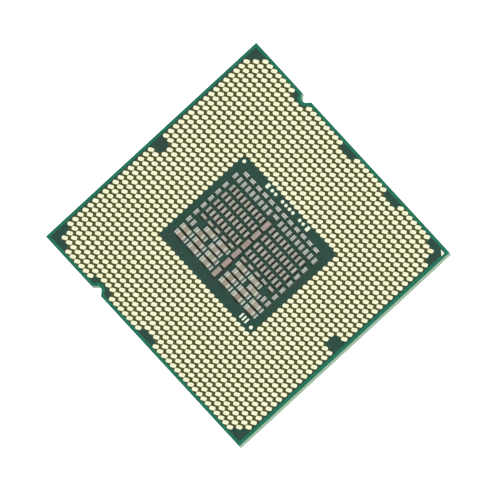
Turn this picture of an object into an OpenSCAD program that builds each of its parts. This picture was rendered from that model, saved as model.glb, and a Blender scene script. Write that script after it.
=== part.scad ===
// Land-grid-array processor package, lying on the outer face of its heat spreader.
// The lands face up (+Z). z = 0 is the heat spreader's outer face, and X runs along the long side.

/* [Package] */
// Length of the substrate along X
package_x = 45; // [45:0.5:50]
// Width of the substrate along Y
package_y = 42.5; // [42.5:0.5:48]
// Height of the lands' contact faces above the heat spreader's outer face
land_plane_z = 4.35; // [4.3:0.05:4.8]
// Thickness of each solder mask
mask_t = 0.03; // [0.02:0.01:0.04]
// Thickness of the build-up layers on each side of the core
build_up_t = 0.2; // [0.15:0.05:0.25]
// Thickness of each copper plane on the core
plane_t = 0.03; // [0.02:0.01:0.05]
// Thickness of the glass-fibre core
core_t = 0.73; // [0.6:0.01:0.8]
// Distance from the board's edge to the copper planes
plane_inset = 0.45; // [0.3:0.05:0.8]

/* [Notches] */
// Distance of both keying notches from the Y axis, towards -X
notch_x = 10.75; // [8:0.05:12]
// Width of a notch at the board's edge
notch_mouth = 2.2; // [1.8:0.05:2.4]
// Depth of a notch
notch_depth = 0.86; // [0.7:0.02:1]
// Radius of a notch's round bottom
notch_r = 0.75; // [0.5:0.05:0.8]

/* [Lands] */
// Spacing of the land grid
land_pitch = 1.016; // [1:0.001:1.02]
// Length of one land
land_length = 0.86; // [0.7:0.01:0.87]
// Width of one land
land_width = 0.62; // [0.5:0.01:0.66]
// Turn of each land from the X axis
land_angle = 30; // [28:1:32]
// Thickness of the plated copper on the mask
copper_t = 0.025; // [0.015:0.005:0.03]

/* [Capacitors] */
// Length of a small capacitor
small_l = 1; // [0.9:0.02:1.04]
// Width of a small capacitor
small_w = 0.5; // [0.4:0.02:0.56]
// Height of a small capacitor
small_h = 0.4; // [0.3:0.01:0.55]
// Width of a small capacitor whose terminals run along its long sides
wide_end_w = 0.5; // [0.46:0.02:0.6]
// Length of a large capacitor
large_l = 1.6; // [1.5:0.02:1.64]
// Width of a large capacitor
large_w = 0.82; // [0.7:0.02:0.86]
// Height of a large capacitor
large_h = 0.48; // [0.4:0.01:0.7]
// How far a large capacitor's wide solder pads reach past each end
bulk_pad_reach = 0.5; // [0.3:0.01:0.52]
// How far every other capacitor's solder pads reach past each end
pad_reach = 0.07; // [0.05:0.01:0.15]

/* [Heat spreader] */
// Size of the flange along X
flange_x = 39; // [38:0.1:39]
// Size of the flange along Y
flange_y = 36.5; // [36:0.1:38]
// Size of the raised face along X
face_x = 31.6; // [30:0.1:31.6]
// Size of the raised face along Y
face_y = 33.5; // [32:0.1:34]
// Height of the raised face over the flange
step_h = 1.1; // [0.8:0.05:1.3]
// How far each side ear stands out of the flange
ear_reach = 0.9; // [0.5:0.1:1.2]
// Width of each side ear
ear_w = 20; // [12:1:24]
// Size of the inner hollow along X
hollow_x = 33.8; // [33.6:0.1:34]
// Size of the inner hollow along Y
hollow_y = 30.6; // [29:0.1:31]
// Depth of the inner hollow
hollow_d = 1; // [0.95:0.01:1.05]
// Diameter of the vent hole
vent_d = 0.8; // [0.6:0.1:0.8]
// Thickness of the sealant under the heat spreader's foot
sealant_t = 0.15; // [0.1:0.01:0.2]

/* [Die] */
// Size of the silicon die along X
die_x = 19; // [16:0.5:21]
// Size of the silicon die along Y
die_y = 13.8; // [12:0.1:16]
// Thickness of the silicon die
die_t = 0.78; // [0.7:0.01:0.8]
// Height of the solder bumps under the die
bump_h = 0.07; // [0.06:0.01:0.08]
// Diameter of one solder bump
bump_d = 0.4; // [0.3:0.05:0.5]
// Spacing of the solder bumps
bump_pitch = 1; // [0.9:0.1:1.5]
// Width of the underfill's fillet round the die
fillet_w = 1.1; // [0.6:0.1:1.5]
// Height of the underfill's fillet on the die's side
fillet_h = 0.45; // [0.3:0.05:0.6]

/* [Vias] */
// Diameter of the plated posts through the core
via_d = 0.4; // [0.3:0.05:0.5]
// Land pitches between two posts
via_step = 3; // [3:1:4]

/* [Hidden] */
$fn = 48;

// Cutters run this far past the faces that they cut.
past = 1;

// Heights of the stack, from the land side down to the die side.
copper_z = land_plane_z - copper_t;
land_mask_z = copper_z - mask_t;
land_build_up_z = land_mask_z - build_up_t;
power_plane_z = land_build_up_z - plane_t;
core_z = power_plane_z - core_t;
ground_plane_z = core_z - plane_t;
die_build_up_z = ground_plane_z - build_up_t;
die_surface_z = die_build_up_z - mask_t;
foot_z = die_surface_z - sealant_t;
hollow_z = foot_z - hollow_d;
die_top_z = die_surface_z - bump_h;
die_z = die_top_z - die_t;

// The land grid: row 0 is at +Y and column 0 at -X.
columns = 43;
rows = 41;
// First and last column and row of the cavity, which holds the capacitors.
cavity_columns = [11, 31];
cavity_rows = [12, 28];
// Other empty places: each row with its empty columns.
empty_places = [
    [0, [0, 1, 9, 10, 11, 20, 21, 22, 30, 31, 32, 40, 41, 42]],
    [1, [0, 42]],
    [2, [42]],
    [19, [0, 1]],
    [20, [0, 1, 41, 42]],
    [21, [41, 42]],
    [38, [0]],
    [39, [0, 42]],
    [40, [0, 1, 2, 9, 10, 11, 12, 20, 21, 22, 41, 42]]
];

function within(value, limits) = value >= limits[0] && value <= limits[1];
function among(value, list) = len([for (item = list) if (item == value) item]) > 0;
function is_empty(c, r) = len([for (place = empty_places) if (place[0] == r && among(c, place[1])) c]) > 0;
function has_land(c, r) = !(within(c, cavity_columns) && within(r, cavity_rows)) && !is_empty(c, r);
function land_place(c, r) = [(c - (columns - 1) / 2) * land_pitch, ((rows - 1) / 2 - r) * land_pitch];
land_places = [for (r = [0:rows - 1]) for (c = [0:columns - 1]) if (has_land(c, r)) land_place(c, r)];

// Capacitor places are [x, y, turn]. The turn takes the line between the two terminals from X.
function mirrored(places) = [for (p = places) for (side = [-1, 1]) [side * p[0], p[1], p[2]]];

// Small capacitors with long terminals: the top row, the row under it, both side columns,
// one in the middle of the second row and one at the foot of each column.
top_row_y = 6.87;
top_row_pitch = 1.472;
second_row_start = [1.31, 5.6];
second_row_pitch = 0.98;
middle_place = [0, 5.83, 90];
column_start = [9.16, 3.61];
column_pitch = 1.476;
foot_place = [8.2, -3.77, 0];
edge_places = concat(
    mirrored([for (i = [0:5]) [(i + 0.5) * top_row_pitch, top_row_y, 90]]),
    mirrored([for (i = [0:8]) [second_row_start[0] + i * second_row_pitch, second_row_start[1], 0]]),
    [middle_place],
    mirrored([for (i = [0:5]) [column_start[0], column_start[1] - i * column_pitch, 0]]),
    mirrored([foot_place])
);

// Small capacitors in the dense block, and the row under it.
block_start = [1.145, 4];
block_pitch = [0.869, 1.569];
under_row_start = [1.5, -1.94];
under_row_pitch = 1.575;
block_places = [
    for (row = [0:3])
        for (i = [0:8])
            [block_start[0] + i * block_pitch[0], block_start[1] - row * block_pitch[1], 90]
];
under_row_places = [for (i = [0:4]) [under_row_start[0] + i * under_row_pitch, under_row_start[1], 0]];
array_places = mirrored(concat(block_places, under_row_places));

// Large capacitors down the middle, and those on wide pads: two rows of two above two rows of three.
centre_start_y = 3.83;
centre_pitch = 1.986;
centre_places = [for (i = [0:5]) [0, centre_start_y - i * centre_pitch, 90]];
bulk_x = [2.245, 5.17, 8.09];
bulk_y = [-2.95, -5.2, -6.36];
between_x = [2.72, 6.17];
between_y = -4.08;
bulk_places = mirrored(concat(
    [for (x = [bulk_x[0], bulk_x[1]]) [x, bulk_y[0], 0]],
    [for (x = between_x) [x, between_y, 0]],
    [for (x = bulk_x) for (y = [bulk_y[1], bulk_y[2]]) [x, y, 0]]
));

// Capacitor families: distance across both terminals, width, height, terminal length and pad reach.
edge_size = [wide_end_w, small_l, small_h, 0.19, pad_reach];
array_size = [small_l, small_w, small_h, 0.24, pad_reach];
centre_size = [large_l, large_w, large_h, 0.32, pad_reach];
bulk_size = [large_l, large_w, large_h, 0.34, bulk_pad_reach];
terminal_lip = 0.02;

// Flat gold marks on the land side.
fiducial_places = [[-10, 8], [10, -8]];
fiducial_d = 0.6;
test_row_y = 8.1;
test_dot_d = 0.55;
test_dot_x = [0.4, 1.2, 2.8, 3.6];
test_dot_places = mirrored([for (x = test_dot_x) [x, test_row_y, 0]]);
test_bar_size = [0.57, 0.81];
test_bar_x = 4.61;
test_bar_places = mirrored([[test_bar_x, test_row_y, 0]]);
tick_start = [7.6, -7.8];
tick_pitch = 0.6;
tick_places = [for (i = [0:2]) [tick_start[0] + i * tick_pitch, tick_start[1]]];
tick_size = [0.3, 0.9];
pin_one_corner = [22.1, 20.6];
pin_one_legs = [0.82, 0.62];

// Die-side marks.
die_mark_corner = [21.6, 20.35];
die_mark_legs = [1.6, 1.6];
die_test_x = 21.4;
die_test_d = 0.6;
die_test_pitch = 1.5;
die_test_places = mirrored([for (i = [-5:5]) [die_test_x, i * die_test_pitch, 0]]);

// Radii of the heat spreader's corners, and the place of its vent.
flange_r = 1.2;
face_r = 1;
ear_r = 0.8;
hollow_r = 2;
vent_y = -11.5;
vent_place = [-(face_x + hollow_x) / 4, vent_y];

// The sealant bead and the gap that lets the hollow breathe.
bead_margin = 0.4;
bead_gap = 2.5;

// A rectangle with round corners, centred on the Z axis.
module rounded_plate(size, r, z, h) {
    translate([-size[0] / 2, -size[1] / 2 + r, z]) cube([size[0], size[1] - 2 * r, h]);
    translate([-size[0] / 2 + r, -size[1] / 2, z]) cube([size[0] - 2 * r, size[1], h]);
    for (x = [-1, 1])
        for (y = [-1, 1])
            translate([x * (size[0] / 2 - r), y * (size[1] / 2 - r), z]) cylinder(r = r, h = h);
}

// The space of one notch at the +Y edge, widened on all sides by grow: a round bottom
// whose sides run out from 45 degrees on the circle to the mouth.
module notch_space(z, h, grow) {
    edge_y = package_y / 2;
    centre_y = edge_y - notch_depth + notch_r;
    reach = (notch_r + grow) * sin(45);
    mouth = notch_mouth / 2 + grow;
    translate([-notch_x, centre_y, z - past]) cylinder(r = notch_r + grow, h = h + 2 * past);
    translate([-notch_x, 0, z - past])
        linear_extrude(height = h + 2 * past)
            polygon([
                [-reach, centre_y - reach],
                [reach, centre_y - reach],
                [mouth, edge_y],
                [mouth, edge_y + past],
                [-mouth, edge_y + past],
                [-mouth, edge_y]
            ]);
}

// One layer of the substrate, with both notches, drawn in from the edge by inset.
module board_layer(z, h, inset = 0) {
    difference() {
        translate([-package_x / 2 + inset, -package_y / 2 + inset, z])
            cube([package_x - 2 * inset, package_y - 2 * inset, h]);
        notch_space(z, h, inset);
        mirror([0, 1, 0]) notch_space(z, h, inset);
    }
}

module dot_prisms(places, d, z, h) {
    for (place = places)
        translate([place[0], place[1], z]) cylinder(d = d, h = h);
}

module bar_prisms(places, size, z, h) {
    for (place = places)
        translate([place[0] - size[0] / 2, place[1] - size[1] / 2, z]) cube([size[0], size[1], h]);
}

// A right triangle whose legs run towards -X and -Y from its corner.
module corner_triangle(corner, legs, z, h) {
    translate([corner[0], corner[1], z])
        linear_extrude(height = h) polygon([[0, 0], [-legs[0], 0], [0, -legs[1]]]);
}

// Places one end of every capacitor: the child points along +X from the capacitor's middle.
module at_each_end(places) {
    for (place = places)
        translate([place[0], place[1], 0])
            for (end = [0, 180])
                rotate([0, 0, place[2] + end]) children();
}

// Two pads under each capacitor, from a quarter of its length to past its end.
module capacitor_pads(places, size) {
    at_each_end(places)
        translate([size[0] / 4, -size[1] / 2, copper_z])
            cube([size[0] / 4 + size[4], size[1], copper_t]);
}

// The solder that climbs from each pad's outer part to half of the terminal's height.
module capacitor_solder(places, size) {
    at_each_end(places)
        translate([size[0] / 2, size[1] / 2 - terminal_lip, land_plane_z])
            rotate([90, 0, 0])
                linear_extrude(height = size[1] - 2 * terminal_lip)
                    polygon([[0, 0], [size[4] - terminal_lip, 0], [0, size[2] / 2]]);
}

// The plated terminals at both ends of each capacitor.
module capacitor_terminals(places, size) {
    at_each_end(places)
        translate([size[0] / 2 - size[3], -size[1] / 2, land_plane_z])
            cube([size[3], size[1], size[2]]);
}

// The bare ceramic between the terminals.
module capacitor_ceramics(places, size) {
    body_l = size[0] - 2 * size[3];
    for (place = places)
        translate([place[0], place[1], land_plane_z + terminal_lip])
            rotate([0, 0, place[2]])
                translate([-body_l / 2, -size[1] / 2 + terminal_lip, 0])
                    cube([body_l, size[1] - 2 * terminal_lip, size[2] - 2 * terminal_lip]);
}

module heat_spreader() {
    color("silver")
        difference() {
            union() {
                rounded_plate([flange_x, flange_y], flange_r, step_h, foot_z - step_h);
                rounded_plate([flange_x + 2 * ear_reach, ear_w], ear_r, step_h, foot_z - step_h);
                rounded_plate([face_x, face_y], face_r, 0, step_h);
            }
            rounded_plate([hollow_x, hollow_y], hollow_r, hollow_z, hollow_d + past);
            translate([vent_place[0], vent_place[1], step_h - past])
                cylinder(d = vent_d, h = hollow_z - step_h + 2 * past);
        }
}

module lid_sealant() {
    color("#202020")
        difference() {
            rounded_plate([flange_x - 2 * bead_margin, flange_y - 2 * bead_margin], flange_r,
                foot_z, sealant_t);
            rounded_plate([hollow_x + 2 * bead_margin, hollow_y + 2 * bead_margin], hollow_r,
                foot_z - past, sealant_t + 2 * past);
            translate([-bead_gap / 2, hollow_y / 2 - past, foot_z - past])
                cube([bead_gap, (flange_y - hollow_y) / 2 + 2 * past, sealant_t + 2 * past]);
        }
}

module die_solder_layer() {
    color("lightgrey")
        translate([-die_x / 2, -die_y / 2, hollow_z]) cube([die_x, die_y, die_z - hollow_z]);
}

module silicon_die() {
    color("slategrey")
        translate([-die_x / 2, -die_y / 2, die_z]) cube([die_x, die_y, die_t]);
}

module bump_prisms(z, h) {
    across = floor(die_x / bump_pitch / 2 - 0.5);
    along = floor(die_y / bump_pitch / 2 - 0.5);
    dot_prisms([for (x = [-across:across]) for (y = [-along:along]) [x * bump_pitch, y * bump_pitch]],
        bump_d, z, h);
}

module die_bumps() {
    color("gainsboro") bump_prisms(die_top_z, bump_h);
}

module underfill() {
    base_x = die_x + 2 * fillet_w;
    base_y = die_y + 2 * fillet_w;
    color("saddlebrown")
        difference() {
            translate([0, 0, die_surface_z - fillet_h])
                linear_extrude(height = fillet_h, scale = [base_x / die_x, base_y / die_y])
                    square([die_x, die_y], center = true);
            translate([-die_x / 2, -die_y / 2, die_z]) cube([die_x, die_y, die_t]);
            bump_prisms(die_top_z - past, bump_h + 2 * past);
        }
}

module die_side_mask() {
    color("darkgreen") board_layer(die_surface_z, mask_t);
}

module die_side_pin_one_mark() {
    color("gold") corner_triangle(die_mark_corner, die_mark_legs, die_surface_z - copper_t, copper_t);
}

module die_side_test_pads() {
    color("gold") dot_prisms(die_test_places, die_test_d, die_surface_z - copper_t, copper_t);
}

module die_side_build_up() {
    color("olivedrab") board_layer(die_build_up_z, build_up_t);
}

module ground_plane() {
    color("peru") board_layer(ground_plane_z, plane_t, plane_inset);
}

module via_prisms(z, h) {
    dot_prisms([
        for (r = [1:via_step:rows - 2])
            for (c = [2:via_step:columns - 3])
                land_place(c, r)
    ], via_d, z, h);
}

module core_laminate() {
    color("khaki")
        difference() {
            board_layer(core_z, core_t);
            via_prisms(core_z - past, core_t + 2 * past);
        }
}

module core_vias() {
    color("peru") via_prisms(core_z, core_t);
}

module power_plane() {
    color("peru") board_layer(power_plane_z, plane_t, plane_inset);
}

module land_side_build_up() {
    color("olivedrab") board_layer(land_build_up_z, build_up_t);
}

module land_side_mask() {
    color("seagreen") board_layer(land_mask_z, mask_t);
}

module lands() {
    color("gold")
        for (place = land_places)
            translate([place[0], place[1], copper_z])
                rotate([0, 0, land_angle])
                    translate([-land_length / 2, -land_width / 2, 0])
                        cube([land_length, land_width, copper_t]);
}

module cavity_test_pads() {
    color("gold") {
        dot_prisms(test_dot_places, test_dot_d, copper_z, copper_t);
        bar_prisms(test_bar_places, test_bar_size, copper_z, copper_t);
    }
}

module fiducial_dots() {
    color("gold") dot_prisms(fiducial_places, fiducial_d, copper_z, copper_t);
}

module pin_one_mark() {
    color("gold") corner_triangle(pin_one_corner, pin_one_legs, copper_z, copper_t);
}

module revision_marks() {
    color("gold") bar_prisms(tick_places, tick_size, copper_z, copper_t);
}

heat_spreader();
lid_sealant();
die_solder_layer();
silicon_die();
die_bumps();
underfill();
die_side_mask();
die_side_pin_one_mark();
die_side_test_pads();
die_side_build_up();
ground_plane();
core_laminate();
core_vias();
power_plane();
land_side_build_up();
land_side_mask();
lands();
cavity_test_pads();
fiducial_dots();
pin_one_mark();
revision_marks();
color("gainsboro") capacitor_pads(edge_places, edge_size);  // edge_capacitor_pads
color("silver") capacitor_solder(edge_places, edge_size);  // edge_capacitor_solder
color("silver") capacitor_terminals(edge_places, edge_size);  // edge_capacitor_terminals
color("darkgrey") capacitor_ceramics(edge_places, edge_size);  // edge_capacitor_ceramics
color("gainsboro") capacitor_pads(array_places, array_size);  // array_capacitor_pads
color("silver") capacitor_solder(array_places, array_size);  // array_capacitor_solder
color("silver") capacitor_terminals(array_places, array_size);  // array_capacitor_terminals
color("tan") capacitor_ceramics(array_places, array_size);  // array_capacitor_ceramics
color("gainsboro") capacitor_pads(centre_places, centre_size);  // centre_capacitor_pads
color("silver") capacitor_solder(centre_places, centre_size);  // centre_capacitor_solder
color("silver") capacitor_terminals(centre_places, centre_size);  // centre_capacitor_terminals
color("rosybrown") capacitor_ceramics(centre_places, centre_size);  // centre_capacitor_ceramics
color("gainsboro") capacitor_pads(bulk_places, bulk_size);  // bulk_capacitor_pads
color("silver") capacitor_solder(bulk_places, bulk_size);  // bulk_capacitor_solder
color("silver") capacitor_terminals(bulk_places, bulk_size);  // bulk_capacitor_terminals
color("tan") capacitor_ceramics(bulk_places, bulk_size);  // bulk_capacitor_ceramics
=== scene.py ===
"""Looks of a land-grid processor package that lies on its heat spreader, lands up.

Lengths are in millimetres, and make_object turns them into the scene's metres. Only the floor, the
lights and the camera's clipping are given in metres.
"""
import math
import random

import bmesh
import bpy
import numpy as np
from mathutils import Matrix, Vector
from mathutils.geometry import delaunay_2d_cdt


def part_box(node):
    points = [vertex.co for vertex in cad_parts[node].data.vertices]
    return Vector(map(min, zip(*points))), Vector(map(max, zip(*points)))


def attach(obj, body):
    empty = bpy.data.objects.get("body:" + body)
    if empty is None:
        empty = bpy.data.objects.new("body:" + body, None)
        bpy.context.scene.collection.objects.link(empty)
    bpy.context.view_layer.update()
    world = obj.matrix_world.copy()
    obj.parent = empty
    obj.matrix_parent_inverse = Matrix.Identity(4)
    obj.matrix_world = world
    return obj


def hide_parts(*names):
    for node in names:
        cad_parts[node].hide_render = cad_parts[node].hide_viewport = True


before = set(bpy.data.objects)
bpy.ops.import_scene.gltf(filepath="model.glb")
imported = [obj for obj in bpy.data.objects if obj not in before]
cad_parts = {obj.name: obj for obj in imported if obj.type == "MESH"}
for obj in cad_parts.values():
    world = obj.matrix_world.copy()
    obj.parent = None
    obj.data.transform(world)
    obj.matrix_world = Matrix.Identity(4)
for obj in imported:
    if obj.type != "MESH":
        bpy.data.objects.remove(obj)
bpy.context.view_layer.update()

MM = 0.001
BODY = "root"

# Reading the design's meshes: how far up or down a flat face's normal points, how near two heights
# are to be one, how many decimals tell corners apart, and how near two points are to be one.
LEVEL = 0.9
SAME_HEIGHT = 0.001
DECIMALS = 4
MERGE = 1e-7

# The land grid, as the design has it.
LAND_PITCH = 1.016
LAND_TURN = math.radians(30)

# A finished land: a plated pad with round ends and a softened edge.
LAND_LENGTH = 0.945
LAND_WIDTH = 0.60
LAND_RADIUS = 0.23
LAND_BEVEL = 0.03
LAND_STEPS = 3

# How far a contact mark may lie from a land's middle, and how strong it may be.
MARK_SLIP = (0.06, 0.04)
MARK_STRENGTH = (0.1, 0.75)
LAND_SEED = 5

# The solder mask: the gap round each land, and how far it lies below the contact plane.
MASK_GAP = 0.012
MASK_STEP = 0.006

# The mask's colour follows the lands: how far from a point, as a share of the pitch, its four
# probes lie, and how many of them in a land's cell make the point lie fully among the lands.
FIELD_BLUR = 0.15
FIELD_FULL = 3

# The small gold marks. A solid with more corners than a box is a disc, and LEAST is the straight
# stretch that is left of a side between two round corners.
MARK_BEVEL = 0.02
MARK_STEPS = 8
BOX_CORNERS = 8
LEAST = 0.001

# The capacitors' pads, and how far they are sunk into the mask.
PAD_RADIUS = 0.05
PAD_BEVEL = 0.01
PAD_SINK = 0.03

# The capacitors: rounded edges, how far a body and its solder reach into the terminals, and how
# far reflow has moved (mm) and turned (radians) each one.
BODY_RADIUS = 0.03
BODY_SEGMENTS = 2
BODY_BITE = 0.02
END_RADIUS = 0.07
END_SEGMENTS = 3
SOLDER_BITE = 0.004
PLACE_SLIP = 0.015
TURN_SLIP = 0.02

# Solder joints: bare rim of the pad, least thickness, and height as a share of the terminal's.
SOLDER_MARGIN = 0.01
SOLDER_BASE = 0.012
SOLDER_RISE = 0.5
CLIMB_STEPS = 6

# Solder on the wide pads: a hollow by the terminal whose foot is painted dark, partly as flux and
# partly as painted shade, then a bright crest. The crest is given as shares of its length and of
# its height.
WIDE_PAD_HOLLOW = 0.20
CREST_HEIGHT = 0.10
CREST = ((0.12, 0.35), (0.3, 0.85), (0.5, 1), (0.75, 0.8), (0.93, 0.3))

# Across a joint: its scale and its place as a share of its width.
JOINT_ENDS = ((0.8, -0.5), (0.96, -0.47), (1, -0.4), (1, 0.4), (0.96, 0.47), (0.8, 0.5))

# The film round some capacitors, partly flux residue and partly painted shade in the gaps between them.
FLUX_SHADE_RADIUS = 0.12
FLUX_SHADE_BEVEL = 0.004
FLUX_SHADE_STEP = 0.003

# The copper-free rim of the board, how softly it ends, and its green.
RIM = 0.50
RIM_BLUR = 0.05
RIM_GREEN = (0.004, 0.201, 0.111)

# The heat spreader: the pressed and the sheared edge, the small radii, the vent's edge and the
# narrow flat that holds the shading beside each round.
PRESSED_EDGE = 0.25
SHEARED_EDGE = 0.2
SMALL_RADIUS = 0.08
VENT_EDGE = 0.02
FLAT = 0.02
ARC_STEPS = 4

# Edges that turn by more than this look sharp.
CREASE = math.radians(38)

# The camera looks down on the land side, leaning towards +X. Its picture is this many millimetres
# wide, and the package's middle lies to the right of and above the picture's by the offset.
CAMERA_LEAN = math.radians(19.8)
CAMERA_ROLL = math.radians(42.65)
CAMERA_SPAN = 72.75
CAMERA_FAR = 400
PICTURE_OFFSET = (0.382, 0.095)

# The floor: half its side in metres, and its own glow.
FLOOR_HALF = 3.0
FLOOR_GLOW = 0.8

# Soft light from all round, brighter from the horizon up to SKY_TOP, and one weak softbox, which has
# its place and size in metres.
HORIZON = 0.30
ZENITH = 1.02
SKY_TOP = 0.8
KEY_PLACE = (0.05, 0.5, 0.5)
KEY_SIZE = 0.35
KEY_POWER = 1.2


# ---------------------------------------------------------------- geometry

def box_mm(node):
    """Lowest and highest corners of a CAD node, in millimetres."""
    low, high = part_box(node)
    return np.array(low) / MM, np.array(high) / MM


def solids_mm(node):
    """The corner points of each separate solid of a CAD node, in millimetres."""
    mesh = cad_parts[node].data
    points = np.empty(len(mesh.vertices) * 3)
    mesh.vertices.foreach_get("co", points)
    points = points.reshape(-1, 3) / MM
    corners, index = np.unique(points.round(DECIMALS), axis=0, return_inverse=True)
    index = index.ravel()
    ends = np.array([tuple(e.vertices) for e in mesh.edges])
    a, b = index[ends[:, 0]], index[ends[:, 1]]
    label = np.arange(len(corners))
    while True:
        low = np.minimum(label[a], label[b])
        new = label.copy()
        np.minimum.at(new, a, low)
        np.minimum.at(new, b, low)
        if (new == label).all():
            break
        label = new
    return [corners[label == k] for k in np.unique(label)]


def flat_loops(node, level, facing):
    """Outlines of a CAD node's flat faces at one height, all anticlockwise and the largest first.

    Facing is 1 for faces that look up and -1 for faces that look down."""
    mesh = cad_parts[node].data
    sides = set()
    for face in mesh.polygons:
        corners = [mesh.vertices[i].co / MM for i in face.vertices]
        if face.normal.z * facing > LEVEL and all(abs(c.z - level) < SAME_HEIGHT for c in corners):
            ring = [(round(c.x, DECIMALS), round(c.y, DECIMALS)) for c in corners]
            for a, b in zip(ring, ring[1:] + ring[:1]):
                if (b, a) in sides:
                    sides.remove((b, a))
                else:
                    sides.add((a, b))
    follow = dict(sorted(sides))
    loops = []
    while follow:
        start = next(iter(follow))
        loop, corner = [start], follow.pop(start)
        while corner != start:
            loop.append(corner)
            corner = follow.pop(corner)
        loops.append(loop if loop_area(loop) > 0 else loop[::-1])
    return sorted(loops, key=loop_area, reverse=True)


def loop_area(loop):
    """Area inside a loop, positive if it runs anticlockwise."""
    return sum(ax * by - bx * ay for (ax, ay), (bx, by) in zip(loop, loop[1:] + loop[:1])) / 2


def drawn_in(loop, inset):
    """An anticlockwise loop moved inwards by inset, or outwards if it is negative."""
    points = np.array(loop)
    ahead = np.roll(points, -1, axis=0) - points
    ahead /= np.hypot(ahead[:, 0], ahead[:, 1])[:, None]
    inward = np.column_stack([-ahead[:, 1], ahead[:, 0]])
    before = np.roll(inward, 1, axis=0)
    mitre = (inward + before) / (1 + (inward * before).sum(1))[:, None]
    return points + inset * mitre


def inside_loop(x, y, loop):
    """Whether each point lies inside a closed loop, by counting the sides to its right."""
    inside = np.zeros(len(x), bool)
    for (ax, ay), (bx, by) in zip(loop, loop[1:] + loop[:1]):
        crosses = (ay > y) != (by > y)
        if by != ay:
            inside ^= crosses & (x < (bx - ax) * (y - ay) / (by - ay) + ax)
    return inside


def notch_circle(loop):
    """Centre (x, |y|) and radius of the round bottom of the +Y notch on the board's outline."""
    half_x, half_y = max(x for x, _ in loop), max(y for _, y in loop)
    from_end, from_edge = 1, 0.05
    bottom = sorted((x, y) for x, y in loop
                    if abs(x) < half_x - from_end and 0 < y < half_y - from_edge)
    (ax, ay), (bx, by), (cx, cy) = bottom[0], bottom[len(bottom) // 2], bottom[-1]
    d = 2 * (ax * (by - cy) + bx * (cy - ay) + cx * (ay - by))
    a2, b2, c2 = ax * ax + ay * ay, bx * bx + by * by, cx * cx + cy * cy
    x = (a2 * (by - cy) + b2 * (cy - ay) + c2 * (ay - by)) / d
    y = (a2 * (cx - bx) + b2 * (ax - cx) + c2 * (bx - ax)) / d
    return x, y, math.hypot(ax - x, ay - y)


def make_object(name, points, faces, material, attributes=None, smooth=True):
    """A mesh piece that rides on the package. Points are in millimetres."""
    mesh = bpy.data.meshes.new(name)
    mesh.from_pydata((np.asarray(points) * MM).tolist(), [], faces)
    mesh.update()
    for key, values in (attributes or {}).items():
        layer = mesh.attributes.new(key, "FLOAT", "POINT")
        layer.data.foreach_set("value", np.asarray(values, float))
    if smooth:
        mesh.shade_smooth()
        mesh.set_sharp_from_angle(angle=CREASE)
    piece = bpy.data.objects.new(name, mesh)
    bpy.context.scene.collection.objects.link(piece)
    mesh.materials.append(material)
    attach(piece, BODY)
    return piece


def stand_for(node):
    """The piece takes the place of a CAD node."""
    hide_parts(node)


def rounded_outline(length, width, radius, steps):
    """Anticlockwise points of a rectangle with round corners."""
    points = []
    for quarter, (sx, sy) in enumerate(((1, 1), (-1, 1), (-1, -1), (1, -1))):
        cx, cy = sx * (length / 2 - radius), sy * (width / 2 - radius)
        for i in range(steps + 1):
            angle = math.pi / 2 * (quarter + i / steps)
            points.append((cx + radius * math.cos(angle), cy + radius * math.sin(angle)))
    return points


def lofted(loops):
    """Joins loops of equally many points into a closed body."""
    n = len(loops[0])
    points = [p for loop in loops for p in loop]
    faces = [list(range(n))[::-1]]
    for k in range(len(loops) - 1):
        a, b = k * n, (k + 1) * n
        faces += [[a + i, a + (i + 1) % n, b + (i + 1) % n, b + i] for i in range(n)]
    last = (len(loops) - 1) * n
    faces.append([last + i for i in range(n)])
    return points, faces


def slab(length, width, radius, low, high, bevel, steps=4):
    """A flat plated pad with round corners and a softened top edge.

    The last ring keeps the shading of the flat top apart from that of the edge."""
    loops = []
    rings = ((0, low), (0, high - bevel / 2), (bevel, high), (bevel * 1.5, high))
    for inset, z in rings:
        outline = rounded_outline(length - 2 * inset, width - 2 * inset, radius - inset, steps)
        loops.append([(x, y, z) for x, y in outline])
    return lofted(loops)


def rounded_box(length, width, height, radius, segments):
    """A box centred on X and Y that stands on z = 0, with all its edges rounded."""
    bm = bmesh.new()
    bmesh.ops.create_cube(bm, size=1)
    bmesh.ops.scale(bm, vec=(length, width, height), verts=bm.verts)
    bmesh.ops.translate(bm, vec=(0, 0, height / 2), verts=bm.verts)
    bmesh.ops.bevel(bm, geom=bm.edges[:], offset=radius, segments=segments, profile=0.5,
                    affect="EDGES", clamp_overlap=True)
    points = [tuple(v.co) for v in bm.verts]
    faces = [[v.index for v in f.verts] for f in bm.faces]
    bm.free()
    return points, faces


def arc(inset, z, radius, start, end):
    """Points of a section's round edge, from one angle to another in degrees."""
    angles = [math.radians(start + (end - start) * i / ARC_STEPS) for i in range(ARC_STEPS + 1)]
    return [(inset + radius * math.cos(a), z + radius * math.sin(a)) for a in angles]


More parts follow.
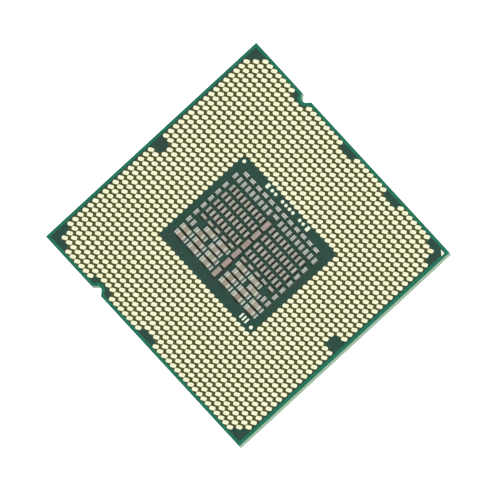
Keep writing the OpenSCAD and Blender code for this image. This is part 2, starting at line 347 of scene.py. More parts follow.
class Skin:
    """A closed surface made of sections swept along loops and flat faces between them."""

    def __init__(self):
        self.points, self.faces = [], []

    def sweep(self, loop, section):
        """Sweeps a section of (inset, height) pairs along a loop. Returns its first and last rings."""
        rings = []
        for inset, z in section:
            start = len(self.points)
            self.points += [(x, y, z) for x, y in drawn_in(loop, inset).tolist()]
            rings.append(list(range(start, len(self.points))))
        for low, high in zip(rings, rings[1:]):
            n = len(low)
            self.faces += [[low[i], low[(i + 1) % n], high[(i + 1) % n], high[i]] for i in range(n)]
        return rings[0], rings[-1]

    def fill(self, outer, holes, facing):
        """Triangles between an outer ring and its holes, looking up or down."""
        known, edges, loops = [], [], []
        for ring in (outer, *holes):
            start, n = len(known), len(ring)
            known += ring
            edges += [(start + i, start + (i + 1) % n) for i in range(n)]
            loops.append([self.points[i][:2] for i in ring])
        flat = [Vector(self.points[i][:2]) for i in known]
        coords, _, tris, origin, _, _ = delaunay_2d_cdt(flat, edges, [], 0, MERGE, True)
        x, y = np.array([tuple(sum((coords[i] for i in tri), Vector((0, 0))) / 3) for tri in tris]).T
        kept = inside_loop(x, y, loops[0])
        for hole in loops[1:]:
            kept &= ~inside_loop(x, y, hole)
        for tri, keep in zip(tris, kept):
            if keep:
                a, b, c = (known[origin[i][0]] for i in tri)
                corners = [self.points[i][:2] for i in (a, b, c)]
                self.faces.append([a, b, c] if loop_area(corners) * facing > 0 else [a, c, b])


def copies(shape, places):
    """Copies a shape to each place (x, y, z, turn in radians)."""
    points, faces = np.asarray(shape[0], float), shape[1]
    all_points, all_faces = [], []
    for k, (x, y, z, turn) in enumerate(places):
        c, s = math.cos(turn), math.sin(turn)
        spin = np.array([[c, s, 0], [-s, c, 0], [0, 0, 1]])
        all_points.append(points @ spin + (x, y, z))
        start = k * len(points)
        all_faces += [[start + i for i in face] for face in faces]
    return np.concatenate(all_points), all_faces


# --------------------------------------------------------------- materials

class Shader:
    """A short way to write one procedural material."""

    SOCKETS = {"base_color": "Base Color", "metallic": "Metallic", "roughness": "Roughness",
               "specular_ior_level": "Specular IOR Level"}

    def __init__(self, name):
        self.material = bpy.data.materials.new(name)
        self.material.use_nodes = True
        self.tree = self.material.node_tree
        self.surface = self.tree.nodes["Principled BSDF"]

    def node(self, kind, **settings):
        made = self.tree.nodes.new(kind)
        for key, value in settings.items():
            setattr(made, key, value)
        return made

    def link(self, source, target):
        self.tree.links.new(source, target)

    def feed(self, socket, value):
        """A socket takes another node's output or a value of its own."""
        if hasattr(value, "is_output"):
            self.link(value, socket)
        else:
            socket.default_value = value

    def math(self, operation, *values):
        made = self.node("ShaderNodeMath", operation=operation)
        for socket, value in zip(made.inputs, values):
            self.feed(socket, value)
        return made.outputs[0]

    def position(self):
        """The place on the object, in millimetres."""
        place = self.node("ShaderNodeTexCoord").outputs["Object"]
        made = self.node("ShaderNodeVectorMath", operation="SCALE")
        self.link(place, made.inputs[0])
        made.inputs["Scale"].default_value = 1 / MM
        return made.outputs[0]

    def noise(self, scale, detail=3.0, stretch=None):
        """Fractal noise with that many cells to a millimetre."""
        place = self.position()
        if stretch:
            made = self.node("ShaderNodeVectorMath", operation="MULTIPLY")
            self.link(place, made.inputs[0])
            made.inputs[1].default_value = stretch
            place = made.outputs[0]
        made = self.node("ShaderNodeTexNoise")
        self.link(place, made.inputs["Vector"])
        made.inputs["Scale"].default_value = scale
        made.inputs["Detail"].default_value = detail
        return made.outputs["Fac"]

    def attribute(self, name):
        return self.node("ShaderNodeAttribute", attribute_name=name).outputs["Fac"]

    def ramp(self, value, low, high):
        """0 below low, 1 above high, smooth between."""
        made = self.node("ShaderNodeMapRange", interpolation_type="SMOOTHSTEP")
        self.feed(made.inputs["Value"], value)
        made.inputs["From Min"].default_value = low
        made.inputs["From Max"].default_value = high
        return made.outputs["Result"]

    def mix(self, share, first, second, blend="MIX"):
        made = self.node("ShaderNodeMix", data_type="RGBA", blend_type=blend)
        self.feed(made.inputs["Factor"], share)
        for socket, colour in ((made.inputs["A"], first), (made.inputs["B"], second)):
            self.feed(socket, colour if hasattr(colour, "is_output") else (*colour, 1))
        return made.outputs["Result"]

    def bump(self, height, depth):
        """Raises the surface by up to depth millimetres."""
        made = self.node("ShaderNodeBump")
        made.inputs["Distance"].default_value = depth * MM
        self.link(height, made.inputs["Height"])
        self.link(made.outputs["Normal"], self.surface.inputs["Normal"])

    def set(self, **values):
        """Fills the surface's own sockets."""
        for key, value in values.items():
            self.feed(self.surface.inputs[self.SOCKETS[key]], value)
        return self


def gold_land_material():
    """Pale matt gold; every land has its own tint and a faint contact mark."""
    sh = Shader("gold_lands")
    tint = sh.attribute("tint")
    warm = sh.mix(sh.ramp(tint, 0.80, 1.0), (0.967, 0.975, 0.706), (0.965, 0.942, 0.655))
    colour = sh.mix(sh.ramp(tint, 0.20, 0.0), warm, (0.952, 0.96, 0.665))
    across = sh.math("ABSOLUTE", sh.attribute("across"))
    along = sh.math("ABSOLUTE", sh.attribute("along"))
    streak = sh.math("MULTIPLY", sh.ramp(across, 0.13, 0.02), sh.ramp(along, 0.36, 0.16))
    streak = sh.math("MULTIPLY", streak, sh.attribute("mark"))
    colour = sh.mix(streak, colour, (0.80, 0.78, 0.56))
    grain = sh.noise(18.0)
    colour = sh.mix(sh.ramp(grain, 0.35, 0.75), colour, sh.mix(0.10, colour, (0.75, 0.68, 0.40)))
    sh.bump(grain, 0.002)
    roughness = sh.math("MULTIPLY_ADD", grain, 0.16, 0.36)
    return sh.set(base_color=colour, metallic=1.0, roughness=roughness).material


def gold_material():
    """Matt gold plating on the small marks."""
    sh = Shader("gold")
    grain = sh.noise(14.0)
    colour = sh.mix(grain, (0.91, 0.98, 0.80), (0.87, 0.92, 0.70))
    sh.bump(grain, 0.002)
    roughness = sh.math("MULTIPLY_ADD", grain, 0.16, 0.34)
    return sh.set(base_color=colour, metallic=1.0, roughness=roughness).material


def rim_mask(sh, outline):
    """1 on the copper-free rim of the board and round its notches, 0 inside."""
    half_x, half_y = max(x for x, _ in outline), max(y for _, y in outline)
    notch_x, notch_y, radius = notch_circle(outline)
    parts = sh.node("ShaderNodeSeparateXYZ")
    sh.link(sh.position(), parts.inputs[0])
    x, y = parts.outputs["X"], sh.math("ABSOLUTE", parts.outputs["Y"])
    side = sh.ramp(sh.math("ABSOLUTE", x), half_x - RIM - RIM_BLUR, half_x - RIM + RIM_BLUR)
    end = sh.ramp(y, half_y - RIM - RIM_BLUR, half_y - RIM + RIM_BLUR)
    dx = sh.math("SUBTRACT", x, notch_x)
    dy = sh.math("SUBTRACT", y, notch_y)
    reach = sh.math("SQRT", sh.math("ADD", sh.math("MULTIPLY", dx, dx), sh.math("MULTIPLY", dy, dy)))
    notch = sh.ramp(reach, radius + RIM + RIM_BLUR, radius + RIM - RIM_BLUR)
    return sh.math("MAXIMUM", sh.math("MAXIMUM", side, end), notch)


def mask_material(name, over_copper, between_lands, outline):
    """Green solder mask: mottled, and its colour follows what lies beneath it."""
    sh = Shader(name)
    cloud = sh.noise(0.35, 4.0)
    slate = tuple(0.75 * c + 0.25 * sum(over_copper) / 3 for c in over_copper)
    base = sh.mix(sh.ramp(cloud, 0.42, 0.68), over_copper, slate)
    base = sh.mix(sh.ramp(sh.attribute("field"), 0.66, 0.95), base, between_lands)
    base = sh.mix(rim_mask(sh, outline), base, RIM_GREEN)
    fine = sh.noise(9.0)
    mottle = sh.ramp(sh.noise(2.6), 0.35, 0.65)
    colour = sh.mix(mottle, base, sh.mix(0.22, base, (0.0, 0.0, 0.0)))
    colour = sh.mix(sh.ramp(fine, 0.3, 0.8), colour, sh.mix(0.25, colour, (0.0, 0.0, 0.0)))
    sh.bump(fine, 0.002)
    roughness = sh.math("MULTIPLY_ADD", fine, 0.12, 0.32)
    return sh.set(base_color=colour, roughness=roughness, specular_ior_level=0.22).material


def edge_material(name, resin, fibre, layers):
    """The routed edge of the board: resin with fibres that run round it."""
    sh = Shader(name)
    streak = sh.noise(1.2, 4.0, stretch=(1.0, 1.0, layers))
    colour = sh.mix(sh.ramp(streak, 0.40, 0.66), resin, fibre)
    sh.bump(streak, 0.01)
    return sh.set(base_color=colour, roughness=0.6, specular_ior_level=0.3).material


def ceramic_material(name, light, dark):
    """Fired ceramic: speckled, some pieces darker and some redder than others."""
    sh = Shader(name)
    piece = sh.attribute("shade")
    speckle = sh.noise(22.0, 4.0)
    share = sh.math("MULTIPLY_ADD", speckle, 0.5, sh.math("MULTIPLY", piece, 0.6))
    colour = sh.mix(sh.ramp(share, 0.15, 0.85), light, dark)
    colour = sh.mix(sh.ramp(sh.attribute("redness"), 0.2, 1.0), colour, (1.03, 0.87, 0.88), "MULTIPLY")
    sh.bump(speckle, 0.004)
    return sh.set(base_color=colour, roughness=0.5, specular_ior_level=0.4).material


def solder_material(name, light, dark, flux_and_shade):
    """Reflowed solder, bright on its crests, its hollows painted dark as flux and as painted shade."""
    sh = Shader(name)
    grain = sh.noise(8.0, 4.0)
    # This share paints the hollows dark, partly as flux and partly as painted shade, and takes away the
    # metal there.
    hollow = sh.ramp(sh.attribute("flux_and_shade"), 0.25, 0.8)
    metal = sh.mix(sh.ramp(grain, 0.3, 0.7), light, dark)
    sh.bump(grain, 0.006)
    roughness = sh.math("MULTIPLY_ADD", grain, 0.16, 0.2)
    return sh.set(base_color=sh.mix(hollow, metal, flux_and_shade), roughness=roughness,
                  metallic=sh.math("SUBTRACT", 1.0, hollow)).material


def metal_material(name, light, dark, grain_size, low, high, depth):
    """Plated or soldered metal with an uneven surface."""
    sh = Shader(name)
    grain = sh.noise(grain_size, 4.0)
    colour = sh.mix(sh.ramp(grain, 0.3, 0.7), light, dark)
    sh.bump(grain, depth)
    roughness = sh.math("MULTIPLY_ADD", grain, high - low, low)
    return sh.set(base_color=colour, metallic=1.0, roughness=roughness).material


def plain_material(name, light, dark, roughness, gloss=0.5):
    """Resin, rubber or silicon: cloudy colour and a fine grain."""
    sh = Shader(name)
    cloud = sh.noise(4.0, 4.0)
    colour = sh.mix(sh.ramp(cloud, 0.3, 0.7), light, dark)
    sh.bump(cloud, 0.004)
    return sh.set(base_color=colour, roughness=roughness, specular_ior_level=gloss).material


# ------------------------------------------------------------------ pieces

def paint(node, material):
    """Gives a CAD node that is already the right shape its material."""
    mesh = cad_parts[node].data
    mesh.materials.clear()
    mesh.materials.append(material)


def land_centres():
    return [tuple(solid.mean(0)[:2]) for solid in solids_mm("lands")]


def build_lands(centres, material):
    """Every land as a plated pad with round ends, from the build-up to the contact plane."""
    _, high = box_mm("lands")
    mask_low, _ = box_mm("land_side_mask")
    shape = slab(LAND_LENGTH, LAND_WIDTH, LAND_RADIUS, mask_low[2], high[2], LAND_BEVEL, LAND_STEPS)
    points, faces = copies(shape, [(x, y, 0, LAND_TURN) for x, y in centres])
    draw = random.Random(LAND_SEED)
    count = len(shape[0])
    local = np.asarray(shape[0])
    tint, mark, along, across = [], [], [], []
    for _ in centres:
        slip_x, slip_y = (draw.uniform(-slip, slip) for slip in MARK_SLIP)
        tint += [draw.random()] * count
        mark += [draw.uniform(*MARK_STRENGTH)] * count
        along += (local[:, 0] - slip_x).tolist()
        across += (local[:, 1] - slip_y).tolist()
    values = {"tint": tint, "mark": mark, "along": along, "across": across}
    piece = make_object("gold_lands", points, faces, material, values)
    stand_for("lands")


def build_land_mask(centres, outline, material):
    """The solder mask as one film with an opening round every land."""
    low, _ = box_mm("land_side_mask")
    _, land_high = box_mm("lands")
    top_z, low_z = land_high[2] - MASK_STEP, low[2]
    hole = rounded_outline(LAND_LENGTH + 2 * MASK_GAP, LAND_WIDTH + 2 * MASK_GAP,
                           LAND_RADIUS + MASK_GAP, LAND_STEPS)
    c, s = math.cos(LAND_TURN), math.sin(LAND_TURN)
    hole = [(x * c - y * s, x * s + y * c) for x, y in hole]
    points, edges = [], []

    def add_loop(loop):
        start, n = len(points), len(loop)
        points.extend(loop)
        edges.extend((start + i, start + (i + 1) % n) for i in range(n))

    add_loop(outline)
    for x, y in centres:
        add_loop([(x + px, y + py) for px, py in hole])
    points.extend(grid_corners(outline, centres))
    coords, _, tris, _, _, _ = delaunay_2d_cdt([Vector(p) for p in points], edges, [], 0, MERGE, True)
    flat = np.array([tuple(v) for v in coords])
    field = land_field(flat, centres)
    tris = keep_film(flat, tris, centres, outline)
    corners, faces = solid_film(flat, tris, low_z, top_z)
    piece = make_object("land_side_solder_mask", corners, faces, material,
                        {"field": np.concatenate([field, field])}, smooth=False)
    stand_for("land_side_mask")


def grid_corners(outline, centres):
    """Corners of the land grid's cells that lie on the board, away from its edge."""
    known = np.array(centres)
    half = np.abs(np.array(outline)).max(0)
    first = known.min(0) - LAND_PITCH / 2
    counts = (2 * half / LAND_PITCH).astype(int)
    grid = np.array([first + (i * LAND_PITCH, j * LAND_PITCH)
                     for i in range(counts[0]) for j in range(counts[1])])
    clear = 0.2
    kept = inside_loop(grid[:, 0], grid[:, 1], outline)
    for shift in ((clear, 0), (-clear, 0), (0, clear), (0, -clear)):
        kept &= inside_loop(grid[:, 0] + shift[0], grid[:, 1] + shift[1], outline)
    return [tuple(p) for p in grid[kept].tolist()]


class LandGrid:
    """Which cells of the land grid hold a land."""

    def __init__(self, centres):
        known = np.array(centres)
        self.first = known.min(0)
        self.cells = {tuple(c) for c in np.rint(self.places(known)).astype(int).tolist()}

    def places(self, points):
        """Points as columns and rows of the grid."""
        return (points - self.first) / LAND_PITCH

    def nearest(self, places):
        """The nearest cell to each place, and whether it holds a land."""
        near = np.rint(places).astype(int)
        return near, np.array([tuple(c) in self.cells for c in near.tolist()])


def nearest_land(points, centres):
    """Vector from the nearest land's centre to each point, in the land's own axes."""
    grid = LandGrid(centres)
    near, has = grid.nearest(grid.places(points))
    gap = points - (grid.first + near * LAND_PITCH)
    c, s = math.cos(LAND_TURN), math.sin(LAND_TURN)
    return gap @ np.array([[c, -s], [s, c]]), has


def keep_film(flat, tris, centres, outline):
    """Drops the triangles that lie over a land or in a notch.

    Reach is each triangle's distance from a land's inner rectangle, negative within it."""
    tris = np.array([list(t) for t in tris])
    middle = flat[tris].mean(1)
    gap, has = nearest_land(middle, centres)
    ax = np.abs(gap[:, 0]) - (LAND_LENGTH / 2 - LAND_RADIUS)
    ay = np.abs(gap[:, 1]) - (LAND_WIDTH / 2 - LAND_RADIUS)
    reach = np.hypot(np.maximum(ax, 0), np.maximum(ay, 0)) + np.minimum(np.maximum(ax, ay), 0)
    over = has & (reach < LAND_RADIUS + MASK_GAP)
    return tris[~over & inside_loop(middle[:, 0], middle[:, 1], outline)]


def land_field(flat, centres):
    """1 among the lands, falling to 0 where there are none."""
    grid = LandGrid(centres)
    places = grid.places(flat)
    total = np.zeros(len(flat))
    for dx in (-FIELD_BLUR, FIELD_BLUR):
        for dy in (-FIELD_BLUR, FIELD_BLUR):
            total += grid.nearest(places + (dx, dy))[1]
    return np.clip(total / FIELD_FULL, 0, 1)


def solid_film(flat, tris, low_z, top_z):
    """A closed film from a flat triangle mesh."""
    n = len(flat)
    up = np.column_stack([flat, np.full(n, top_z)])
    down = np.column_stack([flat, np.full(n, low_z)])
    a, b, c = flat[tris[:, 0]], flat[tris[:, 1]], flat[tris[:, 2]]
    turn = (b[:, 0] - a[:, 0]) * (c[:, 1] - a[:, 1]) - (b[:, 1] - a[:, 1]) * (c[:, 0] - a[:, 0])
    tris = np.where(turn[:, None] > 0, tris, tris[:, ::-1])
    sides = np.concatenate([tris[:, [0, 1]], tris[:, [1, 2]], tris[:, [2, 0]]])
    known = {(int(p), int(q)) for p, q in sides}
    walls = [[p, p + n, q + n, q] for p, q in known if (q, p) not in known]
    faces = tris.tolist() + (tris[:, ::-1] + n).tolist() + sorted(walls)
    return np.concatenate([up, down]), faces


def build_flat_marks(node, name, radius, material):
    """Flat gold pads of a CAD node, each with softened edges."""
    mask_low, _ = box_mm("land_side_mask")
    points, faces = [], []
    for solid in solids_mm(node):
        low, high = solid.min(0), solid.max(0)
        length, width = (high - low)[:2]
        if len(solid) > BOX_CORNERS:
            round_by = min(length, width) / 2 - LEAST
        else:
            round_by = min(radius, length / 2 - LEAST, width / 2 - LEAST)
        shape = slab(length, width, round_by, mask_low[2], high[2], MARK_BEVEL, MARK_STEPS)
        more, more_faces = copies(shape, [((low + high)[0] / 2, (low + high)[1] / 2, 0, 0)])
        faces += [[len(points) + i for i in face] for face in more_faces]
        points += more.tolist()
    piece = make_object(name, points, faces, material)
    stand_for(node)


def build_heat_spreader(material):
    """The lid: a raised face on a flange with ears, its edges rounded, with its hollow and vent."""
    node = "heat_spreader"
    heights = {round(v.co.z / MM, 3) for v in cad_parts[node].data.vertices}
    face, step, ceiling, foot = sorted(heights)
    flange, raised, vent = flat_loops(node, step, -1)
    hollow = flat_loops(node, foot, 1)[1]
    skin = Skin()
    press, edge, corner, lip = PRESSED_EDGE, SHEARED_EDGE, SMALL_RADIUS, VENT_EDGE
    cap, raised_foot = skin.sweep(raised, [
        (press + 10 * FLAT, face), *arc(press, face + press, press, 270, 180),
        *arc(-corner, step - corner, corner, 0, 90), (-corner - FLAT, step)])
    flange_low, flange_high = skin.sweep(flange, [
        (edge + 5 * FLAT, step), *arc(edge, step + edge, edge, 270, 180),
        *arc(corner, foot - corner, corner, 180, 90), (corner + FLAT, foot)])
    hollow_high, hollow_low = skin.sweep(hollow, [
        (-corner - FLAT, foot), *arc(-corner, foot - corner, corner, 90, 0),
        *arc(corner, ceiling + corner, corner, 180, 270), (corner + FLAT, ceiling)])
    vent_high, vent_low = skin.sweep(vent, [
        (-lip, ceiling), (0, ceiling - lip), (0, step + lip), (-lip, step)])
    skin.faces.append(cap[::-1])
    skin.fill(flange_low, [raised_foot, vent_low], -1)
    skin.fill(flange_high, [hollow_high], 1)
    skin.fill(hollow_low, [vent_high], 1)
    piece = make_object("lid", skin.points, skin.faces, material)
    stand_for(node)


class Family:
    """One family of like capacitors, read from its CAD solids."""

    def __init__(self, prefix):
        self.prefix = prefix
        bodies, ends, pads = (self.boxes(prefix + kind) for kind in ("_ceramics", "_terminals", "_pads"))
        draw = random.Random(prefix)
        self.places = []
        for low, high in bodies:
            middle = (low + high) / 2
            turn = self.heading(ends, middle) + draw.uniform(-TURN_SLIP, TURN_SLIP)
            slip_x, slip_y = (draw.uniform(-PLACE_SLIP, PLACE_SLIP) for _ in range(2))
            self.places.append((middle[0] + slip_x, middle[1] + slip_y, turn))
        self.shades = [draw.random() for _ in self.places]
        self.redness = [draw.random() for _ in self.places]

        # The first capacitor gives the family's sizes.
        middle = (bodies[0][0] + bodies[0][1]) / 2
        along = 0 if self.heading(ends, middle) == 0 else 1
        self.body, self.body_z = self.extent(bodies[0], along), bodies[0][0][2]
        end = self.nearest(ends, middle)
        self.end, self.end_z = self.extent(end, along), end[0][2]
        pad = self.nearest(pads, middle)
        self.pad, self.pad_z = self.extent(pad, along), (pad[0][2], pad[1][2])
        self.pad_reach = abs(((pad[0] + pad[1]) / 2 - middle)[along])
        self.tip = self.body[0] / 2 + self.end[0]

    @staticmethod
    def boxes(node):
        return [(solid.min(0), solid.max(0)) for solid in solids_mm(node)]

    @staticmethod
    def nearest(boxes, middle):
        return min(boxes, key=lambda box: math.dist(((box[0] + box[1]) / 2)[:2], middle[:2]))

    def heading(self, ends, middle):
        """0 if the capacitor's two ends lie along X from its middle, a quarter turn if along Y."""
        low, high = self.nearest(ends, middle)
        gap = abs((low + high) / 2 - middle)
        return 0 if gap[0] > gap[1] else math.pi / 2

    @staticmethod
    def extent(box, along):
        """Length along the capacitor, width and height of a box."""
        size = box[1] - box[0]
        return size[along], size[1 - along], size[2]

    def at_ends(self, reach, z):
        """Places that many millimetres out from each capacitor's middle, facing outwards."""
        found = []
        for x, y, turn in self.places:
            for side in (0, math.pi):
                c, s = math.cos(turn + side), math.sin(turn + side)
                found.append((x + reach * c, y + reach * s, z, turn + side))
        return found

    def middles(self, z):
        return [(x, y, z, turn) for x, y, turn in self.places]


def build_bodies(family, material):
    """Ceramic bodies, each with its own shade."""
    length, width, height = family.body
    shape = rounded_box(length + 2 * BODY_BITE, width, height, BODY_RADIUS, BODY_SEGMENTS)
    points, faces = copies(shape, family.middles(family.body_z))
    values = {"shade": np.repeat(family.shades, len(shape[0])),
              "redness": np.repeat(family.redness, len(shape[0]))}
    piece = make_object(family.prefix + "_bodies", points, faces, material, values)
    stand_for(family.prefix + "_ceramics")


def build_plated_ends(family, material):
    """Both terminals of each capacitor."""
    length, width, height = family.end
    shape = rounded_box(length, width, height, END_RADIUS, END_SEGMENTS)
    reach = family.body[0] / 2 + length / 2
    points, faces = copies(shape, family.at_ends(reach, family.end_z))
    piece = make_object(family.prefix + "_plated_ends", points, faces, material)
    stand_for(family.prefix + "_terminals")


def build_footprints(family, material):
    """The pads under the terminals, sunk a little into the mask."""
    length, width, _ = family.pad
    low, high = family.pad_z
    shape = slab(length, width, PAD_RADIUS, low - PAD_SINK, high, PAD_BEVEL)
    points, faces = copies(shape, family.at_ends(family.pad_reach, 0))
    piece = make_object(family.prefix + "_footprints", points, faces, material)
    stand_for(family.prefix + "_pads")


def build_fillets(family, material):
    """A solder joint from each terminal to the end of its pad."""
    length, width, _ = family.pad
    run = family.pad_reach + length / 2 - family.tip - SOLDER_MARGIN
    shape, flux_and_shade = solder_joint(run, width - 2 * SOLDER_MARGIN, family.end[2] * SOLDER_RISE)
    points, faces = copies(shape, family.at_ends(family.tip - SOLDER_BITE, family.pad_z[1]))
    # Each point says how much of it is painted dark as flux and as painted shade.
    values = {"flux_and_shade": np.tile(flux_and_shade, 2 * len(family.places))}
    piece = make_object(family.prefix + "_fillets", points, faces, material, values)
    stand_for(family.prefix + "_solder")


def build_residue_and_shade_film(family, spread, material):
    """A dark film past each capacitor's ends and sides, partly flux residue and partly painted shade."""
    length, width = 2 * (family.tip + spread[0]), family.end[1] + 2 * spread[1]
    low, high = family.pad_z
    shape = slab(length, width, FLUX_SHADE_RADIUS, low, high - FLUX_SHADE_STEP, FLUX_SHADE_BEVEL)
    points, faces = copies(shape, family.middles(0))
    piece = make_object(family.prefix + "_residue_and_shade_film", points, faces, material)


def solder_joint(run, width, rise):
    """Solder on a pad: a hollow climb up the terminal at x = 0 and, on a long pad, a bright crest.

    Returns the shape and, for each point, how far it is painted dark as flux and as painted shade:
    the whole joint on a short pad, the lower half of the climb on a long one."""
    climb = min(run, WIDE_PAD_HOLLOW)
    dry = CLIMB_STEPS / 2 if run > climb else 0
    section = [(0, 0, 1)]
    for i in range(CLIMB_STEPS + 1):
        angle = math.pi / 2 * i / CLIMB_STEPS
        x, z = climb * (1 - math.cos(angle)), SOLDER_BASE + rise * (1 - math.sin(angle))
        section.append((x, z, int(i >= dry)))
    if run > climb:
        section += [(climb + (run - climb) * share, SOLDER_BASE + CREST_HEIGHT * lift, 0)
                    for share, lift in CREST]
    section.append((run, 0, 0 if run > climb else 1))
    loops = [[(x * share, y * width, z * share) for x, z, _ in section] for share, y in JOINT_ENDS]
    return lofted(loops), [flux_and_shade for _ in loops for _, _, flux_and_shade in section]


# ------------------------------------------------------------------- stage

def build_camera():
    """An orthographic camera over the land side, rolled as the package is turned."""
    lean, roll = CAMERA_LEAN, CAMERA_ROLL
    back = Vector((math.sin(lean), 0, math.cos(lean)))
    ahead, aside = Vector((math.cos(lean), 0, -math.sin(lean))), Vector((0, 1, 0))
    right = math.cos(roll) * aside + math.sin(roll) * ahead
    up = math.sin(roll) * aside - math.cos(roll) * ahead
    _, lands_high = box_mm("lands")
    target = Vector((0, 0, lands_high[2])) - PICTURE_OFFSET[0] * right - PICTURE_OFFSET[1] * up
    data = bpy.data.cameras.new("camera")
    data.type = "ORTHO"
    data.ortho_scale = CAMERA_SPAN * MM
    data.clip_start = 0.001
    data.clip_end = 20
    camera = bpy.data.objects.new("camera", data)
    bpy.context.scene.collection.objects.link(camera)
    place = (target + back * CAMERA_FAR) * MM
    camera.matrix_world = Matrix.Translation(place) @ Matrix((right, up, back)).transposed().to_4x4()
    bpy.context.scene.camera = camera
    bpy.context.scene.view_settings.view_transform = "Standard"


def build_floor():
    """A white table that the package lies on."""
    mesh = bpy.data.meshes.new("floor")
    half = FLOOR_HALF
    corners = [(-half, -half, 0), (half, -half, 0), (half, half, 0), (-half, half, 0)]
    mesh.from_pydata(corners, [], [[0, 1, 2, 3]])
    floor = bpy.data.objects.new("floor", mesh)
    bpy.context.scene.collection.objects.link(floor)
    sh = Shader("floor")
    sh.set(base_color=(0.93, 0.93, 0.93, 1), roughness=0.7)
    sh.surface.inputs["Emission Color"].default_value = (1, 1, 1, 1)
    sh.surface.inputs["Emission Strength"].default_value = FLOOR_GLOW
    mesh.materials.append(sh.material)


def build_key_light():
    """A square softbox that faces the package."""
    data = bpy.data.lights.new("key", "AREA")
    data.shape = "SQUARE"
    data.size = KEY_SIZE
    data.energy = KEY_POWER
    light = bpy.data.objects.new("key", data)
    bpy.context.scene.collection.objects.link(light)
    turn = (-Vector(KEY_PLACE)).to_track_quat("-Z", "Y").to_matrix().to_4x4()
    light.matrix_world = Matrix.Translation(KEY_PLACE) @ turn


def build_sky():
    """White light from all round that brightens from the horizon up, and is even below it."""
    world = bpy.data.worlds.new("world")
    world.use_nodes = True
    bpy.context.scene.world = world
    tree = world.node_tree
    backdrop = tree.nodes["Background"]
    parts = tree.nodes.new("ShaderNodeSeparateXYZ")
    tree.links.new(tree.nodes.new("ShaderNodeTexCoord").outputs["Generated"], parts.inputs[0])
    height = tree.nodes.new("ShaderNodeMapRange")
    tree.links.new(parts.outputs["Z"], height.inputs["Value"])
    height.inputs["From Max"].default_value = SKY_TOP
    height.inputs["To Min"].default_value = HORIZON
    height.inputs["To Max"].default_value = ZENITH
    below = tree.nodes.new("ShaderNodeMath")
    below.operation = "LESS_THAN"
    tree.links.new(parts.outputs["Z"], below.inputs[0])
    below.inputs[1].default_value = 0.0
    strength = tree.nodes.new("ShaderNodeMath")
    strength.operation = "MAXIMUM"
    tree.links.new(height.outputs["Result"], strength.inputs[0])
    tree.links.new(below.outputs[0], strength.inputs[1])
    backdrop.inputs["Color"].default_value = (1, 1, 1, 1)
    tree.links.new(strength.outputs[0], backdrop.inputs["Strength"])


def build_land_side(outline, gold):
    """The lands, the mask round them and the small gold marks."""
    centres = land_centres()
    mask = mask_material("land_side_mask", (0.018, 0.078, 0.052), (0.092, 0.096, 0.018), outline)
    build_lands(centres, gold_land_material())
    build_land_mask(centres, outline, mask)
    build_flat_marks("cavity_test_pads", "test_pads", 0.05, gold)
    build_flat_marks("fiducial_dots", "fiducials", 0.3, gold)
    build_flat_marks("revision_marks", "printed_bars", 0.06, gold)
    paint("pin_one_mark", gold)


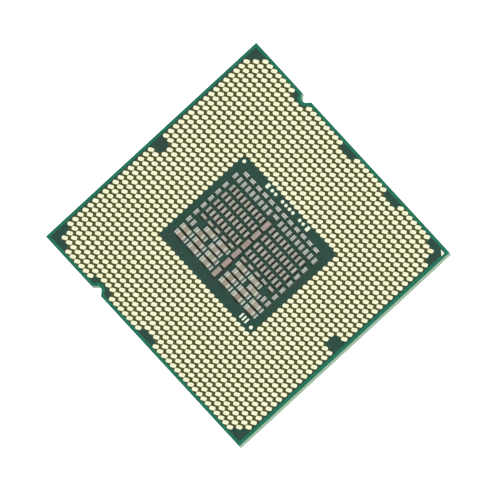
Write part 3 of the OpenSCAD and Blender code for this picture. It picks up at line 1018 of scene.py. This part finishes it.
def build_capacitors():
    """Four families, each with its own ceramic and plating; all but one also get a dark film, partly
    flux residue and partly painted shade, with its own spread.
    """
    pad = metal_material("tinned_pad", (0.50, 0.54, 0.50), (0.40, 0.43, 0.40), 8.0, 0.3, 0.5, 0.004)
    # The solder's last colour is painted into its hollows, partly as flux and partly as painted shade.
    solder = solder_material("solder", (0.78, 0.84, 0.78), (0.66, 0.72, 0.66), (0.13, 0.125, 0.095))
    # A near-black film: partly flux residue, partly painted shade between the capacitors.
    flux_and_shade = plain_material("residue_and_shade_film", (0.020, 0.013, 0.004), (0.032, 0.022, 0.008), 0.4, 0.15)
    # Each family: ceramic light and dark, plating, and the spread of its film of flux residue and
    # painted shade past the ends and sides.
    families = {
        "edge": ((0.27, 0.295, 0.265), (0.20, 0.215, 0.19), (0.72, 0.78, 0.72), None),
        "array": ((0.44, 0.47, 0.40), (0.31, 0.325, 0.265), (0.51, 0.55, 0.475), (-0.03, 0.17)),
        "centre": ((0.385, 0.342, 0.292), (0.33, 0.287, 0.243), (0.44, 0.41, 0.34), (0.17, 0.05)),
        "bulk": ((0.368, 0.363, 0.283), (0.30, 0.293, 0.224), (0.68, 0.68, 0.59), (-0.02, 0.14)),
    }
    for name, (light, dark, tin, spread) in families.items():
        family = Family(name + "_capacitor")
        dull = tuple(0.85 * c for c in tin)
        build_bodies(family, ceramic_material(name + "_ceramic", light, dark))
        build_plated_ends(family, metal_material(name + "_tin", tin, dull, 12.0, 0.35, 0.55, 0.004))
        build_footprints(family, pad)
        build_fillets(family, solder)
        if spread:
            build_residue_and_shade_film(family, spread, flux_and_shade)


def build_substrate():
    """Board layers with their copper."""
    film = edge_material("build_up", (0.030, 0.225, 0.140), (0.055, 0.26, 0.165), 3.0)
    paint("land_side_build_up", film)
    paint("die_side_build_up", film)
    paint("core_laminate", edge_material("laminate", (0.25, 0.37, 0.23), (0.38, 0.46, 0.31), 9.0))
    copper = metal_material("copper", (0.80, 0.42, 0.27), (0.66, 0.32, 0.20), 5.0, 0.25, 0.45, 0.004)
    for node in ("ground_plane", "power_plane", "core_vias"):
        paint(node, copper)


def build_die_side(outline, gold):
    """The far side's mask and marks, the die with its bumps and resin, and the lid."""
    green = (0.010, 0.085, 0.055)
    paint("die_side_mask", mask_material("die_side_mask", green, green, outline))
    paint("die_side_pin_one_mark", gold)
    paint("die_side_test_pads", gold)
    bump = metal_material("bumps", (0.72, 0.72, 0.70), (0.60, 0.60, 0.58), 8.0, 0.2, 0.36, 0.004)
    paint("die_bumps", bump)
    indium = metal_material("indium", (0.72, 0.72, 0.74), (0.6, 0.6, 0.62), 3.0, 0.4, 0.6, 0.01)
    paint("die_solder_layer", indium)
    paint("silicon_die", plain_material("silicon", (0.10, 0.11, 0.13), (0.07, 0.08, 0.10), 0.15))
    paint("underfill", plain_material("underfill", (0.10, 0.05, 0.02), (0.05, 0.025, 0.01), 0.25))
    paint("lid_sealant", plain_material("sealant", (0.02, 0.02, 0.02), (0.035, 0.035, 0.035), 0.6))
    nickel = metal_material("nickel_plate", (0.34, 0.337, 0.33), (0.315, 0.312, 0.305), 9.0,
                            0.28, 0.33, 0.0006)
    build_heat_spreader(nickel)


def build_package():
    """Every piece of the package."""
    _, mask_high = box_mm("land_side_mask")
    outline = flat_loops("land_side_mask", mask_high[2], 1)[0]
    gold = gold_material()
    build_land_side(outline, gold)
    build_capacitors()
    build_substrate()
    build_die_side(outline, gold)


build_camera()
build_package()
build_floor()
build_sky()
build_key_light()
